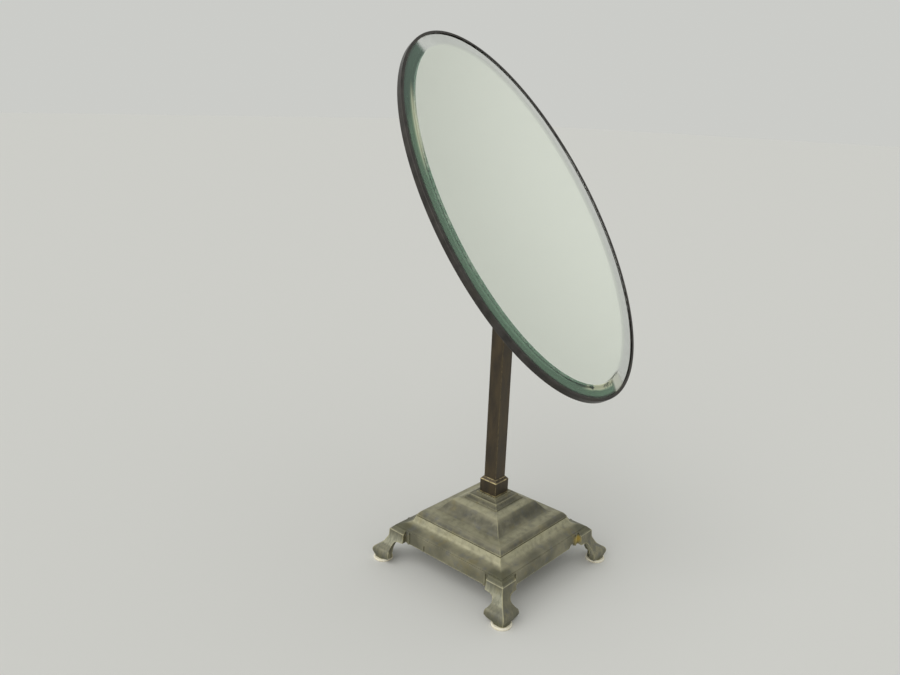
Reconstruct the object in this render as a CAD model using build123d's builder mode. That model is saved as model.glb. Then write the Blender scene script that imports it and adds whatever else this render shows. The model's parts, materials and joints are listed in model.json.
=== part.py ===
"""Tilting countertop mirror: an oval bevelled glass on a square post with a stepped brass base.

Millimetres, +Z up. The origin is on the post's axis, at the height of the table that the four
glides rest on. The mirror faces -Y and is modelled at its usual tilt.
"""

import os
from math import cos, radians, sin

from build123d import *

os.makedirs("parts", exist_ok=True)

# ---- Driving dimensions ----

# Base canopy: half-widths and heights of the square moulding, from the top down.
seat_half = 11.8
seat_z = 74.6
bead_half = 17.4
bead_z = 72.4
shelf_half = 21.6
shelf_z = 68.0
upper_half = 53.4
upper_z = 47.4
groove = 0.7
apron_half = 68.2
apron_top_z = 36.2
apron_bottom_z = 23.0
wall = 2.0
apron_bead_at = 48.3
apron_bead_width = 2.2
apron_bead_height = 0.8

# Old damage to the apron's lower edge: a chip on the front side, a saw nick on the left side.
chip_start = 38.0
chip_end = 46.8
chip_height = 3.7
nick_at = 27.8
nick_width = 1.2
nick_height = 6.5

# Bracket feet: two plates that meet in a ridge at the corner and sweep out over the glide.
foot_top_z = 35.8
knee_half = 71.8
knee_z = 32.4
toe_half = 83.9
toe_z = 12.0
toe_bottom_z = 3.4
plate_side_at = 52.6
scallop_radius = 5.7
scallop_at = 58.4
scallop_z = 17.2
sole_side = 14.4
sole_corner = 5.0
sole_top_z = 7.0

# Glides.
glide_at = 75.9
glide_radius = 9.5
glide_height = 2.5
nail_radius = 1.0
nail_head_radius = 2.6
nail_top_z = 6.2

# Foot screws, driven from inside the apron into the foot plates.
foot_screw_radius = 1.5
foot_screw_head_radius = 2.8
foot_screw_head_height = 1.8
foot_screw_bite = 2.4
foot_screw_along = 60.0
foot_screw_z = 30.0

# Post, collar and tie rod.
post_side = 14.57
post_wall = 1.2
post_top_z = 325.0
collar_side = 19.7
collar_edge_z = 88.4
collar_top_z = 91.2
rod_radius = 3.0
rod_bottom_z = 61.0
rod_top_z = 319.0
nut_across_flats = 10.0
nut_height = 5.0
washer_radius = 8.0
washer_height = 1.6

# Tilt joint.
pivot_z = 343.0
tilt = radians(35.2)
ear_gap = 6.8
ear_radius = post_side / 2
spigot_length = 20.0
slot_depth = 8.5
tongue_width = 5.0
tongue_root_half = 8.0
eye_radius = 6.5
bolt_radius = 2.5
bolt_head_radius = 4.8
bolt_head_height = 3.2
bolt_end_x = 16.4
disc_height = 0.8
disc_radius = 6.2
knob_radius = 8.0
knob_height = 7.0
knob_flutes = 20
flat_washer_height = 1.0
flat_washer_radius = 6.0

# Mirror head: heights above the pivot, along the mirror's outward normal.
oval_x = 113.0
oval_y = 181.0
lip_front = 18.5
lip_thickness = 0.9
lip_width = 2.7
rim_wall = 1.0
rim_depth = 6.0
rear_lip_thickness = 0.6
rear_lip_width = 3.2
glass_back = 15.6
glass_edge_front = 17.3
glass_flat = 20.0
bevel_width = 14.3
silver_thickness = 0.2
pad_thickness = 1.4
back_plate_thickness = 0.9
packing = 0.8
bracket_thickness = 2.0
bracket_width = 34.0
bracket_length = 44.0
rivet_radius = 1.6
rivet_head_radius = 3.0
rivet_spacing_x = 22.0
rivet_spacing_y = 32.0

# Clearances.
running = 0.05
seat_gap = 0.1

# ---- Frames of reference ----

pivot = Vector(0, 0, pivot_z)
mirror_normal = Vector(0, -cos(tilt), sin(tilt))
mirror_plane = Plane(origin=pivot, x_dir=(1, 0, 0), z_dir=mirror_normal)
hinge_plane = Plane(origin=pivot, x_dir=mirror_normal, z_dir=(1, 0, 0))
diagonal_plane = Plane(origin=(0, 0, 0), z_dir=(1, -1, 0))
corners = {"back_right": 0, "back_left": 90, "front_left": 180, "front_right": 270}


def side_plane(turn, distance):
    """The vertical plane of one side of the base, facing out; x runs along the side."""
    out = Vector(0, -1, 0).rotate(Axis.Z, 90 * turn)
    along = Vector(1, 0, 0).rotate(Axis.Z, 90 * turn)
    return Plane(origin=out * distance, x_dir=along, z_dir=out)


def finish(builder, name):
    """Labels a finished piece and writes it to its own file."""
    builder.part.label = name
    export_step(builder.part, f"parts/{name}.step")


# ---- Base canopy ----


def canopy_outline():
    """Half of the stepped moulding in the XZ plane, closed down its middle."""
    with BuildLine() as outline:
        FilletPolyline(
            (0, seat_z),
            (seat_half, seat_z),
            (seat_half, 73.2),
            (14.4, bead_z),
            (bead_half, bead_z),
            (bead_half, 70.4),
            (20.2, 68.9),
            (20.6, 67.6),
            (shelf_half, shelf_z),
            (28.8, 65.2),
            (38.5, 53.6),
            (49.8, 52.3),
            (upper_half, upper_z),
            (upper_half - groove, upper_z),
            (upper_half - groove, upper_z - groove),
            (upper_half, upper_z - groove),
            (55.6, 40.4),
            (66.8, 36.9),
            (67.0, apron_top_z),
            (apron_half, apron_top_z),
            (apron_half, apron_bottom_z),
            (0, apron_bottom_z),
            radius=[
                0.2,  # seat edge
                0.6,
                0.4,
                0.9,  # bead
                0.4,
                0.6,
                0.1,
                0.2,
                7.0,  # upper shoulder
                7.0,  # cove
                5.0,  # ovolo
                0.2,
                0.1,
                0.1,
                0.2,
                4.5,  # lower cove
                0.15,
                0.1,
                0.3,
                0.4,
            ],
        )
        Line((0, apron_bottom_z), (0, seat_z))
    return outline.line


def outer_profile():
    make_face(canopy_outline())


def inner_profile():
    """The outline drawn in by the wall's thickness and carried down past the open bottom."""
    make_face(canopy_outline())
    mirror(about=Plane.YZ)
    offset(amount=-wall, kind=Kind.INTERSECTION, mode=Mode.REPLACE)
    with Locations((0, apron_bottom_z)):
        Rectangle(2 * (apron_half - wall), 2 * (wall + 1))


def square_moulding(sketch_of_profile):
    """A solid whose four sides all have the same profile, mitred at the corners."""
    with BuildPart() as side:
        with BuildSketch(Plane.XZ):
            sketch_of_profile()
        extrude(amount=2 * apron_half, both=True)
        split(bisect_by=Plane(origin=(0, 0, 0), z_dir=(1, 1, 0)), keep=Keep.TOP)
        split(bisect_by=Plane(origin=(0, 0, 0), z_dir=(1, -1, 0)), keep=Keep.TOP)
    with BuildPart() as solid:
        for turn in range(4):
            add(side.part, rotation=(0, 0, 90 * turn))
    return solid.part


canopy_outer = square_moulding(outer_profile)
canopy_inner = square_moulding(inner_profile)

with BuildPart() as base_shell:
    add(canopy_outer)
    add(canopy_inner, mode=Mode.SUBTRACT)
    # A raised bead closes each end of every apron, beside the foot.
    bead_middle_z = (apron_top_z + apron_bottom_z) / 2
    for turn in range(4):
        with BuildSketch(side_plane(turn, apron_half - 0.5)):
            with Locations((-apron_bead_at, bead_middle_z), (apron_bead_at, bead_middle_z)):
                RectangleRounded(apron_bead_width, apron_top_z - apron_bottom_z, 0.6)
        extrude(amount=0.5 + apron_bead_height)
    # Old damage: a chip out of the front apron, and a saw nick in the left one.
    with BuildSketch(side_plane(0, apron_half)):
        with BuildLine():
            Polyline(
                (chip_start, apron_bottom_z),
                (chip_start + 2.8, apron_bottom_z + chip_height - 0.4),
                (chip_end, apron_bottom_z + chip_height),
                (chip_end, apron_bottom_z - 1),
                (chip_start, apron_bottom_z - 1),
                (chip_start, apron_bottom_z),
            )
        make_face()
    extrude(amount=-2 * wall, mode=Mode.SUBTRACT)
    with BuildSketch(side_plane(3, apron_half)):
        with Locations((-nick_at, apron_bottom_z)):
            Rectangle(nick_width, 2 * nick_height)
    extrude(amount=-2 * wall, mode=Mode.SUBTRACT)
    # The tie rod passes through the seat.
    with BuildSketch(Plane.XY.offset(seat_z)):
        Circle(rod_radius + 0.2)
    extrude(amount=-3 * wall, mode=Mode.SUBTRACT)
    # Screw holes through the apron at each foot.
    for turn in range(4):
        with BuildSketch(side_plane(turn, apron_half)):
            with Locations((-foot_screw_along, foot_screw_z), (foot_screw_along, foot_screw_z)):
                Circle(foot_screw_radius + running)
        extrude(amount=-2 * wall, mode=Mode.SUBTRACT)
finish(base_shell, "base_shell")


# ---- Bracket feet ----

with BuildPart() as foot:
    # One plate stands on the +X side of the back right corner and sweeps out at the toe.
    with BuildSketch(Plane.XZ):
        with BuildLine():
            section = FilletPolyline(
                (apron_half, foot_top_z),
                (knee_half, knee_z),
                (72.3, 25.0),
                (76.2, 17.6),
                (toe_half, toe_z),
                (83.6, 8.0),
                (82.1, toe_bottom_z),
                (77.6, toe_bottom_z),
                (78.0, 11.4),
                (72.0, 16.9),
                (apron_half, 24.5),
                (apron_half, knee_z),
                radius=[
                    0.5,  # knee
                    9.0,
                    7.0,
                    5.5,  # toe
                    4.0,
                    0.6,
                    0.4,
                    0.8,
                    6.0,
                    6.0,
                ],
            )
            Line(section @ 1, section @ 0)
        make_face()
    extrude(amount=-1.1 * toe_half)
    # Its side has a round scallop over a flared wing.
    with BuildSketch(Plane.YZ):
        with BuildLine():
            side = Polyline(
                (90, 40),
                (plate_side_at, 40),
                (plate_side_at, scallop_z + scallop_radius + 0.5),
                (scallop_at, scallop_z + scallop_radius),
            )
            scallop = ThreePointArc(
                side @ 1, (scallop_at + scallop_radius, scallop_z), (62.0, 12.7)
            )
            Polyline(
                scallop @ 1,
                (61.6, 11.0),
                (61.1, 7.4),
                (63.2, 4.9),
                (69.0, toe_bottom_z - 0.1),
                (90, toe_bottom_z - 0.1),
                (90, 40),
            )
        make_face()
    extrude(amount=1.1 * toe_half, mode=Mode.INTERSECT)
    split(bisect_by=diagonal_plane, keep=Keep.TOP)
    mirror(about=diagonal_plane)
    # The sole under the toe sits on the glide and takes its nail.
    with BuildSketch(Plane.XY.offset(glide_height)):
        with Locations((glide_at, glide_at)):
            RectangleRounded(sole_side, sole_side, sole_corner)
    extrude(amount=sole_top_z - glide_height)
    with BuildSketch(Plane.XY.offset(glide_height)):
        with Locations((glide_at, glide_at)):
            Circle(nail_radius + running)
    extrude(amount=nail_top_z - glide_height + seat_gap, mode=Mode.SUBTRACT)
    # Blind holes for the screws from inside the apron.
    with BuildSketch(Plane.YZ.offset(apron_half), Plane.XZ.offset(-apron_half)):
        with Locations((foot_screw_along, foot_screw_z)):
            Circle(foot_screw_radius + running)
    extrude(amount=foot_screw_bite + seat_gap, both=True, mode=Mode.SUBTRACT)

with BuildPart() as glide:
    with BuildSketch():
        with Locations((glide_at, glide_at)):
            Circle(glide_radius)
    extrude(amount=glide_height)
    fillet(glide.edges().group_by(Axis.Z)[0], 0.5)
    fillet(glide.edges().group_by(Axis.Z)[-1], 0.7)
    with Locations((glide_at, glide_at, glide_height)):
        Hole(nail_radius + running)
    with BuildSketch():
        with Locations((glide_at, glide_at)):
            Circle(nail_head_radius + seat_gap)
    extrude(amount=glide_height / 2, mode=Mode.SUBTRACT)

for corner, angle in corners.items():
    with BuildPart() as corner_foot:
        add(foot.part, rotation=(0, 0, angle))
    finish(corner_foot, f"foot_{corner}")
    with BuildPart() as corner_glide:
        add(glide.part, rotation=(0, 0, angle))
    finish(corner_glide, f"glide_{corner}")

with BuildPart() as glide_nails:
    nail_seat_z = glide_height / 2
    with BuildSketch(Plane.XY.offset(nail_seat_z)):
        with GridLocations(2 * glide_at, 2 * glide_at, 2, 2):
            Circle(nail_radius)
    extrude(amount=nail_top_z - nail_seat_z)
    with BuildSketch(Plane.XY.offset(nail_seat_z)):
        with GridLocations(2 * glide_at, 2 * glide_at, 2, 2):
            Circle(nail_head_radius)
    extrude(amount=-0.7)
finish(glide_nails, "glide_nails")

with BuildPart() as foot_screws:
    for turn in range(4):
        with BuildSketch(side_plane(turn, apron_half - wall)):
            with Locations((-foot_screw_along, foot_screw_z), (foot_screw_along, foot_screw_z)):
                Circle(foot_screw_radius)
        extrude(amount=wall + foot_screw_bite)
        with BuildSketch(side_plane(turn, apron_half - wall)):
            with Locations((-foot_screw_along, foot_screw_z), (foot_screw_along, foot_screw_z)):
                Circle(foot_screw_head_radius)
        extrude(amount=-foot_screw_head_height)
finish(foot_screws, "foot_screws")

# ---- Post ----

with BuildPart() as post:
    with BuildSketch(Plane.XY.offset(seat_z)):
        RectangleRounded(post_side, post_side, 0.7)
        post_inner = post_side - 2 * post_wall
        RectangleRounded(post_inner, post_inner, 0.4, mode=Mode.SUBTRACT)
    extrude(amount=post_top_z - seat_z)
finish(post, "post")

with BuildPart() as collar:
    with BuildSketch(Plane.XY.offset(seat_z)):
        RectangleRounded(collar_side, collar_side, 0.4)
    extrude(amount=collar_edge_z - seat_z)
    # Its top slopes up to the post on all four sides.
    with BuildSketch(Plane.XY.offset(collar_edge_z)):
        RectangleRounded(collar_side, collar_side, 0.4)
    with BuildSketch(Plane.XY.offset(collar_top_z)):
        RectangleRounded(post_side + 0.6, post_side + 0.6, 0.4)
    loft(ruled=True)
    with BuildSketch(Plane.XY.offset(seat_z)):
        RectangleRounded(post_side + 2 * running, post_side + 2 * running, 0.7)
    extrude(amount=collar_top_z - seat_z, mode=Mode.SUBTRACT)
finish(collar, "collar")

with BuildPart() as tie_rod:
    with BuildSketch(Plane.XY.offset(rod_bottom_z)):
        Circle(rod_radius)
    extrude(amount=rod_top_z - rod_bottom_z)
    chamfer(tie_rod.edges().filter_by(GeomType.CIRCLE), 0.6)
finish(tie_rod, "tie_rod")

with BuildPart() as base_washer:
    ceiling_z = seat_z - wall
    with BuildSketch(Plane.XY.offset(ceiling_z - washer_height)):
        Circle(washer_radius)
        Circle(rod_radius + seat_gap, mode=Mode.SUBTRACT)
    extrude(amount=washer_height)
finish(base_washer, "base_washer")

with BuildPart() as tie_rod_nut:
    with BuildSketch(Plane.XY.offset(ceiling_z - washer_height - nut_height)):
        RegularPolygon(nut_across_flats / 2, 6, major_radius=False)
        Circle(rod_radius + running, mode=Mode.SUBTRACT)
    extrude(amount=nut_height)
finish(tie_rod_nut, "tie_rod_nut")

# ---- Tilt joint ----

with BuildPart() as post_head:
    with BuildSketch(Plane.XY.offset(post_top_z)):
        Rectangle(post_side, post_side)
    extrude(amount=pivot_z - post_top_z)
    with BuildSketch(Plane.YZ):
        with Locations((0, pivot_z)):
            Circle(ear_radius)
    extrude(amount=ear_radius, both=True)
    with BuildSketch(Plane.XY.offset(post_top_z)):
        spigot_side = post_inner - 2 * running
        RectangleRounded(spigot_side, spigot_side, 0.5)
    extrude(amount=-spigot_length)
    # The slot between the ears, open to the front and the back.
    with BuildSketch(Plane.XZ):
        with Locations((0, pivot_z - slot_depth)):
            Rectangle(ear_gap, 2 * slot_depth, align=(Align.CENTER, Align.MIN))
    extrude(amount=post_side, both=True, mode=Mode.SUBTRACT)
    with BuildSketch(Plane.YZ):
        with Locations((0, pivot_z)):
            Circle(bolt_radius + running)
    extrude(amount=post_side, both=True, mode=Mode.SUBTRACT)
    # The tie rod screws up into the spigot.
    with BuildSketch(Plane.XY.offset(post_top_z - spigot_length)):
        Circle(rod_radius + running)
    extrude(amount=rod_top_z - post_top_z + spigot_length + 1, mode=Mode.SUBTRACT)
finish(post_head, "post_head")

with BuildPart() as hinge_bracket:
    seat = glass_back - silver_thickness - pad_thickness - back_plate_thickness
    with BuildSketch(mirror_plane.offset(seat)):
        RectangleRounded(bracket_width, bracket_length, 6)
        with GridLocations(rivet_spacing_x, rivet_spacing_y, 2, 2):
            Circle(rivet_radius + running, mode=Mode.SUBTRACT)
    extrude(amount=-bracket_thickness)
    # The tongue tapers from the plate to a round eye on the tilt axis.
    with BuildSketch(hinge_plane):
        Circle(eye_radius)
        with BuildLine():
            root = seat - bracket_thickness / 2
            Polyline(
                (0, eye_radius),
                (root, tongue_root_half),
                (root, -tongue_root_half),
                (0, -eye_radius),
                (0, eye_radius),
            )
        make_face()
    extrude(amount=tongue_width / 2, both=True)
    with BuildSketch(hinge_plane):
        Circle(bolt_radius + running)
    extrude(amount=tongue_width, both=True, mode=Mode.SUBTRACT)
finish(hinge_bracket, "hinge_bracket")

with BuildPart() as friction_discs:
    for side in (-1, 1):
        with BuildSketch(hinge_plane.offset(side * tongue_width / 2)):
            Circle(disc_radius)
            Circle(bolt_radius + seat_gap, mode=Mode.SUBTRACT)
        extrude(amount=side * disc_height)
finish(friction_discs, "friction_discs")

with BuildPart() as hinge_bolt:
    with BuildSketch(hinge_plane.offset(-ear_radius)):
        Circle(bolt_radius)
    extrude(amount=bolt_end_x + ear_radius)
    chamfer(hinge_bolt.edges().group_by(Axis.X)[-1], 0.5)
    with BuildSketch(hinge_plane.offset(-ear_radius)):
        Circle(bolt_head_radius)
    extrude(amount=-bolt_head_height)
    fillet(hinge_bolt.edges().group_by(Axis.X)[0], 0.8)
    with BuildSketch(hinge_plane.offset(-ear_radius - bolt_head_height)):
        Rectangle(2 * bolt_head_radius, 1.2)
    extrude(amount=1.3, mode=Mode.SUBTRACT)
finish(hinge_bolt, "hinge_bolt")

with BuildPart() as flat_washer:
    with BuildSketch(hinge_plane.offset(ear_radius)):
        Circle(flat_washer_radius)
        Circle(bolt_radius + seat_gap, mode=Mode.SUBTRACT)
    extrude(amount=flat_washer_height)
finish(flat_washer, "flat_washer")

with BuildPart() as thumb_nut:
    knob_start = ear_radius + flat_washer_height + seat_gap
    with BuildSketch(hinge_plane.offset(knob_start)):
        Circle(0.65 * knob_radius)
    extrude(amount=knob_height)
    with BuildSketch(hinge_plane.offset(knob_start + 1.5)):
        Circle(knob_radius)
        with PolarLocations(knob_radius + 0.35, knob_flutes):
            Circle(0.9, mode=Mode.SUBTRACT)
    extrude(amount=knob_height - 1.5)
    with BuildSketch(hinge_plane.offset(knob_start)):
        Circle(bolt_radius + running)
    extrude(amount=knob_height, mode=Mode.SUBTRACT)
finish(thumb_nut, "thumb_nut")

# ---- Mirror head ----


def oval(inset, **options):
    """The mirror's oval, drawn in by an inset."""
    return Ellipse(oval_x - inset, oval_y - inset, **options)


rim_back = lip_front - rim_depth

with BuildPart() as mirror_rim:
    with BuildSketch(mirror_plane.offset(rim_back)):
        oval(0)
    extrude(amount=rim_depth)
    outer_edges = mirror_rim.edges()
    fillet(outer_edges, 0.7)
    with BuildSketch(mirror_plane.offset(rim_back + rear_lip_thickness)):
        oval(rim_wall)
    extrude(amount=rim_depth - rear_lip_thickness - lip_thickness, mode=Mode.SUBTRACT)
    with BuildSketch(mirror_plane.offset(lip_front - lip_thickness - seat_gap)):
        oval(lip_width)
    extrude(amount=2 * lip_thickness, mode=Mode.SUBTRACT)
    with BuildSketch(mirror_plane.offset(rim_back - seat_gap)):
        oval(rear_lip_width)
    extrude(amount=2 * rear_lip_thickness, mode=Mode.SUBTRACT)
finish(mirror_rim, "mirror_rim")

glass_inset = rim_wall + packing

with BuildPart() as mirror_glass:
    with BuildSketch(mirror_plane.offset(glass_back)):
        oval(glass_inset)
    extrude(amount=glass_edge_front - glass_back)
    with BuildSketch(mirror_plane.offset(glass_edge_front)):
        oval(glass_inset)
    with BuildSketch(mirror_plane.offset(glass_flat)):
        oval(bevel_width)
    loft(ruled=True)
finish(mirror_glass, "mirror_glass")

with BuildPart() as glass_packing:
    with BuildSketch(mirror_plane.offset(glass_back)):
        oval(rim_wall + running)
        oval(glass_inset - running, mode=Mode.SUBTRACT)
    extrude(amount=glass_edge_front - glass_back)
finish(glass_packing, "glass_packing")

with BuildPart() as silvering:
    with BuildSketch(mirror_plane.offset(glass_back - running)):
        oval(glass_inset + seat_gap)
    extrude(amount=running - silver_thickness)
finish(silvering, "silvering")

with BuildPart() as backing_pad:
    pad_front = glass_back - silver_thickness
    with BuildSketch(mirror_plane.offset(pad_front)):
        oval(glass_inset)
        with GridLocations(rivet_spacing_x, rivet_spacing_y, 2, 2):
            Circle(rivet_head_radius + 0.3, mode=Mode.SUBTRACT)
    extrude(amount=-pad_thickness)
finish(backing_pad, "backing_pad")

with BuildPart() as back_plate:
    plate_front = pad_front - pad_thickness
    with BuildSketch(mirror_plane.offset(plate_front)):
        oval(rim_wall + seat_gap)
        with GridLocations(rivet_spacing_x, rivet_spacing_y, 2, 2):
            Circle(rivet_radius + running, mode=Mode.SUBTRACT)
    extrude(amount=-back_plate_thickness)
finish(back_plate, "back_plate")

with BuildPart() as bracket_rivets:
    with BuildSketch(mirror_plane.offset(plate_front)):
        with GridLocations(rivet_spacing_x, rivet_spacing_y, 2, 2):
            Circle(rivet_radius)
    extrude(amount=-(back_plate_thickness + bracket_thickness))
    with BuildSketch(mirror_plane.offset(plate_front)):
        with GridLocations(rivet_spacing_x, rivet_spacing_y, 2, 2):
            Circle(rivet_head_radius)
    extrude(amount=0.8)
    with BuildSketch(mirror_plane.offset(seat - bracket_thickness)):
        with GridLocations(rivet_spacing_x, rivet_spacing_y, 2, 2):
            Circle(rivet_head_radius)
    extrude(amount=-1.0, taper=25)
finish(bracket_rivets, "bracket_rivets")
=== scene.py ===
"""Looks for the tilting countertop mirror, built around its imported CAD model.

Metres, +Z up, in the model's own frame: the mirror faces -Y and stands on the floor at z = 0.
Every material is procedural and reads the model's own coordinates, so it moves with its body.
"""

import json
import math

import bpy
from mathutils import Matrix, Vector

MM = 0.001

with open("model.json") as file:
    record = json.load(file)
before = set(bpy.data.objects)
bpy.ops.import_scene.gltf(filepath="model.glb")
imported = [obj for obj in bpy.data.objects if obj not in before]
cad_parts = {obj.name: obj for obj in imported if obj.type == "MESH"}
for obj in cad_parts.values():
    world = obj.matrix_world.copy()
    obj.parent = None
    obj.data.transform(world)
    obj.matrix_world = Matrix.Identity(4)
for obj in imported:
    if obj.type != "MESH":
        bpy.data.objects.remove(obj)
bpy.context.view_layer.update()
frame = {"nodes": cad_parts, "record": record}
nodes = frame["nodes"]
record = frame["record"]

TILT_JOINT = record["behaviour"]["joints"][0]
TILT_AXIS = Vector(TILT_JOINT["pos_m"])
# The joint's upper limit is upright, so the model's own tilt is that far back from it.
TILT = math.radians(TILT_JOINT["range_deg"][1])


# ---- Camera ----

CAMERA_PLACE = Vector((-559.3, -433.0, 440.6)) * MM
CAMERA_AZIMUTH = math.radians(-48.30)
CAMERA_PITCH = math.radians(16.59)
CAMERA_ROLL = math.radians(2.19)
CAMERA_LENS = 31.7
SENSOR_WIDTH = 36.0


def make_camera():
    data = bpy.data.cameras.new("camera")
    data.lens = CAMERA_LENS
    data.sensor_width = SENSOR_WIDTH
    data.clip_start = 0.01
    data.clip_end = 50.0
    camera = bpy.data.objects.new("camera", data)
    bpy.context.scene.collection.objects.link(camera)
    forward = Vector(
        (
            -math.sin(CAMERA_AZIMUTH) * math.cos(CAMERA_PITCH),
            math.cos(CAMERA_AZIMUTH) * math.cos(CAMERA_PITCH),
            -math.sin(CAMERA_PITCH),
        )
    )
    level = forward.to_track_quat("-Z", "Y").to_matrix()
    roll = Matrix.Rotation(CAMERA_ROLL, 3, "Z")
    camera.matrix_world = Matrix.Translation(CAMERA_PLACE) @ (level @ roll).to_4x4()
    bpy.context.scene.camera = camera


# ---- Materials: helpers ----


def tone(red, green, blue):
    """A colour given as it is seen, 0 to 255, as the linear colour that a shader takes."""

    def linear(value):
        value /= 255
        return value / 12.92 if value <= 0.04045 else ((value + 0.055) / 1.055) ** 2.4

    return (linear(red), linear(green), linear(blue), 1.0)


class Graph:
    """One material's node tree. Inputs are plain values or the sockets of other nodes."""

    def __init__(self, name):
        self.material = bpy.data.materials.new(name)
        self.material.use_nodes = True
        self.tree = self.material.node_tree
        self.shader = self.tree.nodes["Principled BSDF"]
        self.place = self.node("ShaderNodeTexCoord").outputs["Object"]

    def node(self, kind, **settings):
        made = self.tree.nodes.new(kind)
        for key, value in settings.items():
            setattr(made, key, value)
        return made

    def put(self, value, socket):
        if isinstance(value, bpy.types.NodeSocket):
            self.tree.links.new(value, socket)
        else:
            socket.default_value = value

    def set(self, **inputs):
        """Sets the shader's inputs; an underscore stands for a space."""
        for name, value in inputs.items():
            self.put(value, self.shader.inputs[name.replace("_", " ")])

    def math(self, operation, first, second=0.0, clamp=False):
        made = self.node("ShaderNodeMath", operation=operation, use_clamp=clamp)
        self.put(first, made.inputs[0])
        self.put(second, made.inputs[1])
        return made.outputs[0]

    def add(self, *values):
        total = values[0]
        for value in values[1:]:
            total = self.math("ADD", total, value)
        return total

    def times(self, *values):
        total = values[0]
        for value in values[1:]:
            total = self.math("MULTIPLY", total, value)
        return total

    def ramp(self, value, start, end, low=0.0, high=1.0):
        """A smooth change from low, where value is at start, to high, where it is at end."""
        made = self.node("ShaderNodeMapRange", interpolation_type="SMOOTHSTEP")
        for index, number in enumerate((value, start, end, low, high)):
            self.put(number, made.inputs[index])
        return made.outputs[0]

    def band(self, value, start, end, soft):
        """1 between start and end, fading to 0 over soft on both sides."""
        rise = self.ramp(value, start - soft, start + soft)
        fall = self.ramp(value, end - soft, end + soft, 1.0, 0.0)
        return self.times(rise, fall)

    def mix(self, factor, first, second):
        made = self.node("ShaderNodeMix", data_type="RGBA")
        self.put(factor, made.inputs["Factor"])
        self.put(first, made.inputs[6])
        self.put(second, made.inputs[7])
        return made.outputs[2]

    def noise(self, size, detail=4.0, stretch=(1, 1, 1), roughness=0.55):
        """Noise from 0 to 1 whose patches are about size millimetres across."""
        mapping = self.node("ShaderNodeMapping")
        mapping.inputs["Scale"].default_value = stretch
        self.put(self.place, mapping.inputs["Vector"])
        made = self.node("ShaderNodeTexNoise")
        made.inputs["Scale"].default_value = 1 / (size * MM)
        made.inputs["Detail"].default_value = detail
        made.inputs["Roughness"].default_value = roughness
        self.put(mapping.outputs[0], made.inputs["Vector"])
        return made.outputs["Fac"]

    def dot(self, vector, direction):
        """How far a vector runs along a direction."""
        made = self.node("ShaderNodeVectorMath", operation="DOT_PRODUCT")
        self.put(vector, made.inputs[0])
        made.inputs[1].default_value = direction
        return made.outputs["Value"]

    def along(self, direction, origin=(0, 0, 0)):
        """How far a point lies from origin along a direction, in millimetres."""
        shifted = self.node("ShaderNodeVectorMath", operation="SUBTRACT")
        self.put(self.place, shifted.inputs[0])
        shifted.inputs[1].default_value = origin
        return self.dot(shifted.outputs[0], Vector(direction) / MM)

    def offsets(self):
        """How far a point stands from the post's axis, across and deep, in millimetres."""
        across = self.math("ABSOLUTE", self.along((1, 0, 0)))
        deep = self.math("ABSOLUTE", self.along((0, 1, 0)))
        return across, deep

    def facing(self, direction):
        """1 on a face that looks straight along a direction, 0 on one square to it, -1 on its back."""
        return self.dot(self.node("ShaderNodeTexCoord").outputs["Normal"], direction)

    def near(self, centre, reach):
        """1 at a point of the model, fading to 0 at reach millimetres from it."""
        made = self.node("ShaderNodeVectorMath", operation="DISTANCE")
        self.put(self.place, made.inputs[0])
        made.inputs[1].default_value = Vector(centre) * MM
        return self.ramp(made.outputs["Value"], 0.4 * reach * MM, reach * MM, 1.0, 0.0)

    def hollow(self, reach):
        """1 in the open, falling towards 0 in corners and under ledges within reach."""
        made = self.node("ShaderNodeAmbientOcclusion", samples=4, only_local=True)
        made.inputs["Distance"].default_value = reach * MM
        return made.outputs["AO"]

    def edge(self, reach):
        """1 on outward edges, where a hand or a cloth rubs, and 0 away from them."""
        made = self.node("ShaderNodeAmbientOcclusion", samples=4, only_local=True, inside=True)
        made.inputs["Distance"].default_value = reach * MM
        return self.ramp(made.outputs["AO"], 0.95, 0.45)

    def relief(self, height, depth, rounding=0.0):
        """Bump of a depth in millimetres; rounding softens the sharp edges under it."""
        bump = self.node("ShaderNodeBump")
        bump.inputs["Distance"].default_value = depth * MM
        self.put(height, bump.inputs["Height"])
        if rounding:
            bevel = self.node("ShaderNodeBevel", samples=4)
            bevel.inputs["Radius"].default_value = rounding * MM
            self.put(bevel.outputs[0], bump.inputs["Normal"])
        self.set(Normal=bump.outputs[0])


# ---- Materials: the object's own ----

# Heights on the base that its painted shade and highlights, its dirt and its wear keep to, in
# millimetres.
BEAD_FLANK = (68.6, 70.4)
SHOULDER = (65.0, 67.6)
UPPER_COVE = (56.0, 63.0)
OVOLO_TOP = (52.3, 53.6)
OVOLO_FLANK = (47.2, 50.6)
LOWER_COVE = (37.0, 46.6)
APRON_SEAM = (35.0, 37.2)
APRON_EDGE = (22.6, 24.0)
KNEE_SLOPE = (33.4, 39.0)
KNEE_EDGE = (32.0, 32.7)
FOOT_PLATE = (14.5, 29.0)

# Distances from the post's axis, in millimetres.
COVE_END = (54.0, 63.0)
APRON_END = (68.6, 69.2)
FOOT_START = (68.9, 69.5)
KNEE_START = (70.8, 71.4)
CORNER_START = (46.0, 56.0)

# Where the brass beside one foot is rubbed bare and carries a painted yellow reflection.
BRIGHT_SPOT = (50.0, -68.6, 29.0)
BRIGHT_SPOT_REACH = 6.0

# Heights of the collar's two lips.
COLLAR_LIPS = ((74.7, 75.6), (88.0, 89.0))


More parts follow.
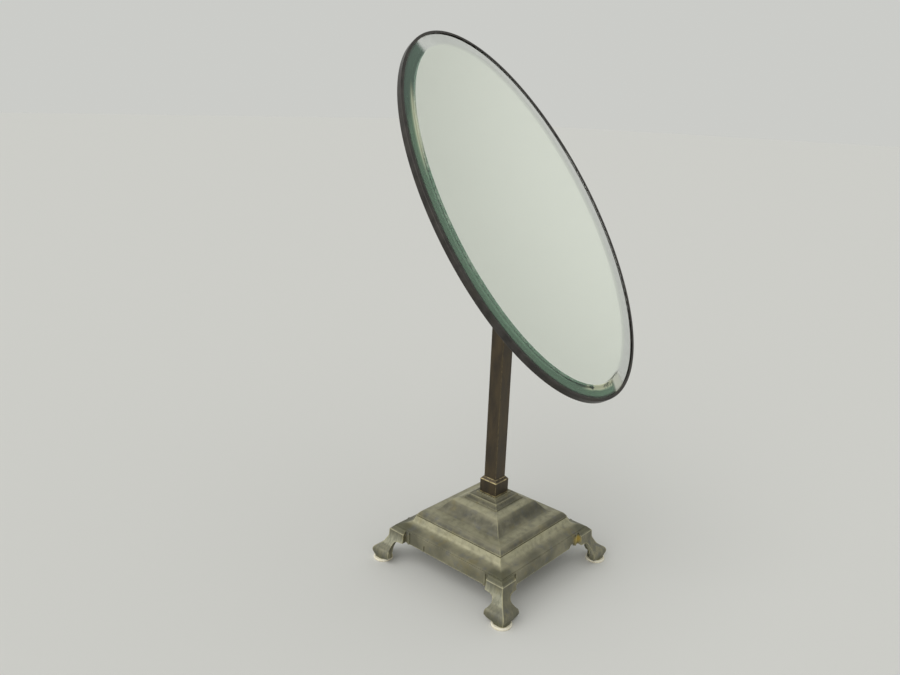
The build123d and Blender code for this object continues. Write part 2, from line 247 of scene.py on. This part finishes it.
def patinated_brass():
    """Cast brass under an olive patina, lighter on its crests with painted highlights and rubbing, and
    darker in the hollows with painted shade and dirt.
    """
    g = Graph("patinated brass")
    height = g.along((0, 0, 1))
    patches = g.noise(34, 3)
    blotches = g.noise(9, 5)
    grain = g.noise(1.6, 4)
    olive = g.mix(g.ramp(patches, 0.36, 0.66), tone(106, 104, 87), tone(143, 139, 116))
    olive = g.mix(g.ramp(blotches, 0.5, 0.7, 0.0, 0.6), olive, tone(106, 108, 110))
    olive = g.mix(g.ramp(g.noise(15, 4), 0.56, 0.72, 0.0, 0.55), olive, tone(132, 122, 82))
    across, deep = g.offsets()
    reach = g.math("MAXIMUM", across, deep)
    on_foot = g.ramp(reach, *FOOT_START)
    seam = g.band(height, *APRON_SEAM, 0.4)
    on_slope = g.band(height, *KNEE_SLOPE, 0.6)
    knee_slope_shade = g.times(g.ramp(g.math("MINIMUM", across, deep), *CORNER_START), on_slope)
    # The level faces are darker in patches. The feet are brushed, and painted paler on their side
    # towards -X, as painted light from that side.
    mottled = g.ramp(g.noise(6, 4), 0.3, 0.62, 0.45, 1.0)
    level = g.ramp(g.facing((0, 0, 1)), 0.94, 0.99, 0.0, 0.40)
    level = g.times(level, g.math("SUBTRACT", 1.0, seam))
    colour = g.mix(g.times(level, mottled), olive, tone(54, 53, 46))
    lit_side = g.ramp(g.facing((-1, 0, 0)), 0.4, 0.8)
    painted_pale_light = g.times(on_foot, lit_side, g.band(height, *FOOT_PLATE, 4.0))
    colour = g.mix(g.times(painted_pale_light, 0.6), colour, tone(180, 179, 157))
    streaks = g.ramp(g.noise(2.4, 4, stretch=(1, 1, 0.22)), 0.42, 0.64, 0.0, 0.45)
    colour = g.mix(g.times(on_foot, streaks), colour, tone(92, 93, 80))
    # The moulding's steep faces are darker, painted shade with some dirt, and its crests lighter,
    # painted highlights where dusting also polishes.
    steep_shade = g.add(
        g.times(g.band(height, *UPPER_COVE, 2.5), 0.8),
        g.times(g.band(height, *OVOLO_FLANK, 1.2), 0.75),
        g.times(g.band(height, *BEAD_FLANK, 0.3), 0.8),
    )
    colour = g.mix(g.times(steep_shade, mottled, 0.75), colour, tone(64, 63, 55))
    crest_highlight = g.add(
        g.times(g.band(height, *SHOULDER, 0.8), 0.75),
        g.times(g.band(height, *OVOLO_TOP, 0.7), 0.7),
        g.times(g.ramp(reach, *COVE_END, 1.0, 0.0), g.band(height, *LOWER_COVE, 0.3), 0.9),
        g.times(g.band(height, *APRON_EDGE, 0.4), g.ramp(reach, *APRON_END, 1.0, 0.0), 0.7),
        g.times(g.band(height, *KNEE_EDGE, 0.25), g.ramp(reach, *KNEE_START), 0.9),
    )
    colour = g.mix(g.times(crest_highlight, mottled, 0.85), colour, tone(190, 186, 156))
    # Corners and spaces under ledges are darkened, painted shade with some dirt in it, and the slope
    # where the moulding runs onto each foot's knee is painted the moulding's dark olive shade.
    in_hollows = g.math("SUBTRACT", 1.0, g.hollow(5), clamp=True)
    in_hollows = g.times(in_hollows, g.ramp(seam, 0.0, 1.0, 1.0, 0.35))
    colour = g.mix(g.times(in_hollows, g.ramp(blotches, 0.3, 0.6, 0.5, 0.85)), colour, tone(46, 47, 36))
    colour = g.mix(g.times(knee_slope_shade, 0.72), colour, tone(86, 86, 66))
    # The toes are painted darker green low down: painted shade under their curve, over green patina.
    colour = g.mix(g.ramp(height, 11.5, 5.0, 0.0, 0.42), colour, tone(58, 64, 40))
    # The ridges at the corners carry a painted highlight, brightest on the feet.
    ridge_highlight = g.ramp(g.math("ABSOLUTE", g.math("SUBTRACT", across, deep)), 1.1, 0.3)
    ridge_highlight = g.times(ridge_highlight, g.math("SUBTRACT", 1.0, knee_slope_shade), g.add(0.14, g.times(on_foot, 0.36)))
    colour = g.mix(g.times(ridge_highlight, g.ramp(height, 6.0, 12.0, 0.3, 1.0)), colour, tone(196, 192, 160))
    # Bare yellow brass shows on sharp edges, and beside one foot as bare brass with a painted yellow
    # reflection on it.
    rubbed = g.near(BRIGHT_SPOT, BRIGHT_SPOT_REACH)
    bare_and_reflection = g.times(rubbed, g.ramp(blotches, 0.35, 0.6, 0.5, 1.0))
    colour = g.mix(bare_and_reflection, colour, tone(214, 194, 116))
    worn = g.times(g.edge(1.1), g.ramp(blotches, 0.34, 0.6, 0.25, 0.95))
    worn = g.times(worn, g.ramp(on_slope, 0.0, 1.0, 1.0, 0.1))
    colour = g.mix(g.times(worn, 0.75), colour, tone(196, 190, 150))
    g.set(Base_Color=colour, Metallic=g.add(0.42, g.times(worn, 0.3), g.times(rubbed, 0.3)))
    rough = g.add(g.ramp(blotches, 0.3, 0.7, 0.40, 0.58), g.times(in_hollows, 0.2), g.times(worn, -0.12))
    g.set(Roughness=g.math("ADD", rough, g.times(g.math("SUBTRACT", grain, 0.5), 0.16), clamp=True))
    g.relief(g.add(g.times(patches, 1.2), blotches, g.times(grain, 0.35)), 0.35, rounding=0.45)
    return g.material


def dark_bronze(name, dark, light, worn_tone, streak, edge_reach, lips=(), rounding=0.3):
    """Brown-black bronzing with long streaks, worn through to brass on its edges.

    Lips are heights, in millimetres, where the piece stands wide and is rubbed bright.
    """
    g = Graph(name)
    streaks = g.noise(9, 5, stretch=streak)
    clouds = g.noise(22, 3)
    grain = g.noise(0.9, 3)
    colour = g.mix(g.ramp(streaks, 0.34, 0.68), dark, light)
    colour = g.mix(g.ramp(clouds, 0.5, 0.78, 0.0, 0.5), colour, tone(64, 60, 50))
    # The hollows are darkened: painted shade with some dirt.
    in_hollows = g.math("SUBTRACT", 1.0, g.hollow(3), clamp=True)
    colour = g.mix(g.times(in_hollows, 0.7), colour, tone(30, 26, 20))
    worn = g.times(g.edge(edge_reach), g.ramp(g.noise(3.5, 4), 0.36, 0.58, 0.15, 1.0))
    colour = g.mix(g.times(worn, 0.8), colour, worn_tone)
    rubs = g.ramp(g.noise(2.2, 5, roughness=0.7), 0.66, 0.78, 0.0, 0.25)
    colour = g.mix(rubs, colour, worn_tone)
    if lips:
        height = g.along((0, 0, 1))
        wide = g.ramp(g.math("MAXIMUM", *g.offsets()), 9.0, 9.3)
        bright = g.add(*(g.band(height, low, high, 0.2) for low, high in lips))
        rubbed = g.times(bright, wide, g.ramp(g.noise(4, 4), 0.36, 0.6, 0.2, 0.8))
        colour = g.mix(rubbed, colour, worn_tone)
    g.set(Base_Color=colour, Metallic=g.add(0.7, g.times(worn, 0.2)))
    g.set(Roughness=g.add(g.ramp(streaks, 0.3, 0.7, 0.27, 0.42), g.times(in_hollows, 0.2)))
    g.relief(g.add(streaks, g.times(grain, 0.4)), 0.09, rounding)
    return g.material


def bronzed_post():
    return dark_bronze(
        "bronzed post",
        tone(66, 59, 50),
        tone(84, 73, 56),
        tone(204, 188, 142),
        streak=(1, 1, 0.3),
        edge_reach=0.7,
        lips=COLLAR_LIPS,
    )


def rim_bronze():
    return dark_bronze(
        "rim bronze",
        tone(58, 56, 54),
        tone(74, 71, 68),
        tone(124, 115, 98),
        streak=(0.3, 1, 1),
        edge_reach=0.25,
        rounding=0.0,
    )


def hinge_brass():
    return dark_bronze(
        "hinge brass",
        tone(128, 108, 66),
        tone(164, 142, 92),
        tone(214, 194, 134),
        streak=(1, 1, 1),
        edge_reach=0.6,
    )


def steel_hardware():
    """Dull plated steel with turning marks and a little rust in its corners."""
    g = Graph("steel hardware")
    marks = g.noise(1.4, 5, stretch=(0.25, 1, 1))
    spots = g.noise(3, 4)
    in_hollows = g.math("SUBTRACT", 1.0, g.hollow(1.5), clamp=True)
    colour = g.mix(g.ramp(spots, 0.35, 0.7), tone(150, 148, 143), tone(186, 184, 178))
    colour = g.mix(g.times(in_hollows, 0.8), colour, tone(88, 66, 46))
    g.set(Base_Color=colour, Metallic=g.ramp(in_hollows, 0.2, 0.7, 0.95, 0.4))
    g.set(Roughness=g.add(g.ramp(marks, 0.3, 0.7, 0.26, 0.44), g.times(in_hollows, 0.3)))
    g.relief(marks, 0.05, rounding=0.2)
    return g.material


def cream_glide():
    """Cream plastic, scuffed and soiled low down where it slides."""
    g = Graph("cream glide")
    height = g.along((0, 0, 1))
    scuffs = g.noise(1.2, 5)
    soil = g.times(g.ramp(height, 1.3, 0.2, 0.0, 0.7), g.ramp(scuffs, 0.35, 0.6))
    colour = g.mix(g.ramp(g.noise(5, 3), 0.35, 0.7), tone(238, 231, 208), tone(246, 241, 224))
    colour = g.mix(soil, colour, tone(176, 160, 128))
    in_hollows = g.math("SUBTRACT", 1.0, g.hollow(1.5), clamp=True)
    colour = g.mix(g.times(in_hollows, 0.5), colour, tone(140, 124, 92))
    g.set(Base_Color=colour, Roughness=g.ramp(scuffs, 0.3, 0.7, 0.34, 0.52))
    g.relief(scuffs, 0.06, rounding=0.2)
    return g.material


# ---- Materials: the mirror ----

# The rim's outer half-width and half-length, and how far in the glass and its flat start, in mm.
OVAL_HALF = Vector((113.0, 181.0))
GLASS_INSET = 1.8
BEVEL_INSET = 14.3
NEVER_ZERO = 0.0001

GLASS_IOR = 1.52

# Parts of the bevel, from 0 at its inner line to 1 at the glass's edge.
INNER_PART_END = (0.24, 0.33)
PAINTED_PART = (0.25, 0.36)
EDGE_STRIP = (0.74, 0.84)
PALE_HALF_END = (0.5, 0.3)

# Directions on the mirror's face, across and up, that place the stretches of the bevel.
LOWER_LEFT = (-0.95, -0.31)
UPPER_END = (-0.87, 0.50)
LOWER_END = (0.05, -1.0)
TOP_END = (-0.50, 0.866)
PAST_END = (0.50, -0.866)


def oval_place(g, inset, toward):
    """Position on the face along a direction: 1 where it meets the oval drawn in by an inset."""
    across, upward = toward
    direction = Vector((across / (OVAL_HALF.x - inset), 0, 0))
    direction += Vector((0, math.sin(TILT), math.cos(TILT))) * upward / (OVAL_HALF.y - inset)
    return g.along(direction, TILT_AXIS)


def oval_reach(g, inset):
    """Distance from the face's middle: 1 on the oval drawn in by an inset, more outside it."""
    width = oval_place(g, inset, (1, 0))
    length = oval_place(g, inset, (0, 1))
    return g.math("SQRT", g.add(g.times(width, width), g.times(length, length)))


def across_bevel(g):
    """0 on the bevel's inner line, rising to 1 at the glass's edge."""
    beyond = g.math("SUBTRACT", oval_reach(g, BEVEL_INSET), 1.0, clamp=True)
    short = g.math("SUBTRACT", 1.0, oval_reach(g, GLASS_INSET), clamp=True)
    return g.math("DIVIDE", beyond, g.add(beyond, short, NEVER_ZERO))


def bevelled_glass():
    """Old plate glass: clear across the flat and pale on most of the bevel.

    Along its lower left the bevel is painted with light caught inside it, in the glass's own green.
    """
    g = Graph("bevelled glass")
    bevel = across_bevel(g)
    on_bevel = g.ramp(bevel, 0.0, 0.03)
    lower_left = g.ramp(oval_place(g, BEVEL_INSET, LOWER_LEFT), 0.02, 0.12)
    caught = g.times(on_bevel, lower_left)
    # Light leaves the inner part through the flat, so it is tinted once and needs a deeper green.
    green = g.mix(g.ramp(bevel, *INNER_PART_END), tone(50, 78, 60), tone(142, 178, 152))
    patches = g.noise(7, 3)
    green = g.mix(g.ramp(patches, 0.5, 0.8, 0.0, 0.35), green, tone(160, 184, 162))
    green = g.mix(g.ramp(bevel, *EDGE_STRIP), green, tone(112, 126, 112))
    # The top end is painted an even, deeper grey green, as light caught in the bevel.
    top_end = g.ramp(oval_place(g, BEVEL_INSET, TOP_END), 0.88, 1.0)
    green = g.mix(g.times(top_end, 0.9), green, tone(94, 121, 107))
    # Near both ends of the green stretch, painted pale light shows in the inner half.
    inner = g.ramp(bevel, *PALE_HALF_END)
    upper_end = g.times(g.ramp(oval_place(g, BEVEL_INSET, UPPER_END), 0.985, 1.03), 0.8)
    lower_end = g.ramp(oval_place(g, BEVEL_INSET, LOWER_END), 0.95, 1.0)
    lower_end = g.times(lower_end, g.ramp(patches, 0.38, 0.5))
    painted_pale_light = g.times(inner, g.math("MAXIMUM", upper_end, lower_end))
    green = g.mix(painted_pale_light, green, tone(214, 218, 186))
    # The last bit at the lower end is painted pale light all across.
    turned = g.math("DIVIDE", oval_place(g, BEVEL_INSET, PAST_END), oval_reach(g, BEVEL_INSET))
    past_end = g.ramp(turned, 0.905, 0.925)
    green = g.mix(past_end, green, tone(218, 221, 208))
    colour = g.mix(on_bevel, tone(251, 253, 249), tone(243, 244, 243))
    g.set(Base_Color=g.mix(caught, colour, green), IOR=GLASS_IOR)
    # Part of that stretch is painted, for the light that old glass scatters inside the bevel.
    painted = g.ramp(bevel, *PAINTED_PART, 0.05, 0.36)
    painted = g.times(painted, g.ramp(bevel, *EDGE_STRIP, 1.0, 0.35))
    painted = g.add(painted, g.times(painted_pale_light, 0.55))
    painted = g.math("MAXIMUM", painted, g.times(top_end, 0.5))
    painted = g.math("MAXIMUM", painted, g.times(past_end, 0.85))
    g.set(Transmission_Weight=g.math("SUBTRACT", 1.0, g.times(caught, painted)))
    smudges = g.ramp(g.noise(26, 6, roughness=0.65), 0.5, 0.8)
    g.set(Roughness=g.times(smudges, 0.03))
    g.relief(g.noise(45, 2), 0.02)
    return g.material


def silver_backing():
    """Silvering behind the glass, with grey foxing that creeps in from the edge."""
    g = Graph("silver backing")
    edge = g.ramp(across_bevel(g), 0.7, 1.0)
    foxing = g.times(edge, g.ramp(g.noise(9, 4), 0.5, 0.75, 0.0, 0.3))
    specks = g.ramp(g.noise(2.4, 3), 0.77, 0.8, 0.0, 0.4)
    stains = g.math("MAXIMUM", foxing, specks)
    g.set(Base_Color=g.mix(stains, tone(246, 247, 245), tone(70, 66, 58)), Metallic=1.0)
    g.set(Roughness=g.add(0.015, g.times(stains, 0.4)))
    return g.material


def fibrous(name, dark, light, size, stretch=(1, 1, 1)):
    """Matt fibrous sheet: flecked, uneven and rough."""
    g = Graph(name)
    fibres = g.noise(size, 6, stretch=stretch, roughness=0.7)
    stains = g.noise(28, 3)
    colour = g.mix(g.ramp(fibres, 0.32, 0.68), dark, light)
    colour = g.mix(g.ramp(stains, 0.5, 0.75, 0.0, 0.35), colour, dark)
    g.set(Base_Color=colour, Roughness=g.ramp(fibres, 0.3, 0.7, 0.78, 0.95))
    g.relief(fibres, 0.15)
    return g.material


def cork_packing():
    return fibrous("cork packing", tone(96, 74, 50), tone(150, 122, 84), 0.9)


def pad_board():
    return fibrous("pad board", tone(118, 104, 84), tone(150, 136, 112), 0.7, (0.2, 1, 1))


def fibre_disc():
    return fibrous("fibre disc", tone(92, 42, 28), tone(126, 62, 42), 0.5)


def back_plate_enamel():
    """Dark enamelled sheet, rubbed and scratched, with rust at its rim."""
    g = Graph("back plate enamel")
    wear = g.noise(14, 6, roughness=0.65)
    clouds = g.noise(60, 3)
    scratches = g.ramp(g.noise(1.2, 4, stretch=(0.7, 0.05, 0.09), roughness=0.6), 0.69, 0.75)
    colour = g.mix(g.ramp(clouds, 0.35, 0.7), tone(52, 48, 44), tone(74, 69, 62))
    colour = g.mix(g.ramp(wear, 0.56, 0.72, 0.0, 0.55), colour, tone(98, 84, 66))
    rust = g.times(g.ramp(across_bevel(g), 0.72, 1.0), g.ramp(wear, 0.42, 0.6))
    colour = g.mix(rust, colour, tone(96, 62, 40))
    colour = g.mix(g.times(scratches, 0.5), colour, tone(132, 126, 114))
    g.set(Base_Color=colour, Metallic=g.times(scratches, 0.6))
    g.set(Roughness=g.add(g.ramp(wear, 0.3, 0.7, 0.36, 0.6), g.times(rust, 0.25)))
    g.set(Coat_Weight=0.12, Coat_Roughness=0.3)
    g.relief(g.add(wear, g.times(scratches, -0.5)), 0.12, rounding=0.2)
    return g.material


MATERIALS = {
    "patinated_brass": patinated_brass,
    "bronzed_post": bronzed_post,
    "hinge_brass": hinge_brass,
    "rim_bronze": rim_bronze,
    "steel_hardware": steel_hardware,
    "cream_glide": cream_glide,
    "bevelled_glass": bevelled_glass,
    "silver_backing": silver_backing,
    "cork_packing": cork_packing,
    "pad_board": pad_board,
    "back_plate_enamel": back_plate_enamel,
    "fibre_disc": fibre_disc,
}


def paint():
    """Gives each CAD node the material that its record slot names."""
    made = {slot: build() for slot, build in MATERIALS.items()}
    for part in record["subparts"]:
        data = nodes[part["node"]].data
        data.materials.clear()
        data.materials.append(made[part["material_slot"]])


# ---- Studio ----

FLOOR_HALF = 14.0
FLOOR_TONE = tone(222, 222, 220)

SKY_TONE = tone(214, 215, 211)
SKY_STRENGTH = 0.89
GLOW_STRENGTH = 0.25
GLOW_SIDE = Vector((0.966, 0.0, 0.259))
# How closely a direction has to agree with the glow's side, and how high it has to look.
GLOW_AGREEMENT = (0.84, 0.95)
GLOW_HEIGHT = (0.12, 0.34)

KEY_SIDE = (-0.80, 0.10, 0.60)
KEY_STRENGTH = 1.2
KEY_SPREAD = math.radians(75)
KEY_COLOUR = (1.0, 0.99, 0.96)


def make_floor():
    """A plain pale floor, wide enough to reach the horizon."""
    data = bpy.data.meshes.new("floor")
    signs = ((-1, -1), (1, -1), (1, 1), (-1, 1))
    corners = [(FLOOR_HALF * x, FLOOR_HALF * y, 0.0) for x, y in signs]
    data.from_pydata(corners, [], [(0, 1, 2, 3)])
    floor = bpy.data.objects.new("floor", data)
    bpy.context.scene.collection.objects.link(floor)
    g = Graph("floor")
    g.set(Base_Color=FLOOR_TONE, Roughness=0.95, Specular_IOR_Level=0.0)
    data.materials.append(g.material)


class Sky(Graph):
    """The world's node tree; its place is the direction looked along."""

    def __init__(self, name):
        world = bpy.data.worlds.new(name)
        bpy.context.scene.world = world
        world.use_nodes = True
        self.tree = world.node_tree
        self.shader = self.tree.nodes["Background"]
        self.place = self.node("ShaderNodeTexCoord").outputs["Generated"]


def make_world():
    """Plain soft light from all round, with a little more from high on one side.

    The sky stays even down to the horizon, so that the floor meets it without a line.
    """
    sky = Sky("world")
    beside = sky.ramp(sky.dot(sky.place, GLOW_SIDE.normalized()), *GLOW_AGREEMENT)
    high = sky.ramp(sky.dot(sky.place, (0, 0, 1)), *GLOW_HEIGHT)
    glow = sky.times(beside, high, GLOW_STRENGTH)
    sky.set(Color=SKY_TONE, Strength=sky.add(glow, SKY_STRENGTH))


def make_key_light():
    """A broad soft light from one side."""
    data = bpy.data.lights.new("key light", "SUN")
    data.energy = KEY_STRENGTH
    data.angle = KEY_SPREAD
    data.color = KEY_COLOUR
    light = bpy.data.objects.new("key light", data)
    light.rotation_euler = Vector(KEY_SIDE).to_track_quat("Z", "Y").to_euler()
    bpy.context.scene.collection.objects.link(light)


make_camera()
paint()
make_floor()
make_world()
make_key_light()
bpy.context.scene.view_settings.view_transform = "Standard"
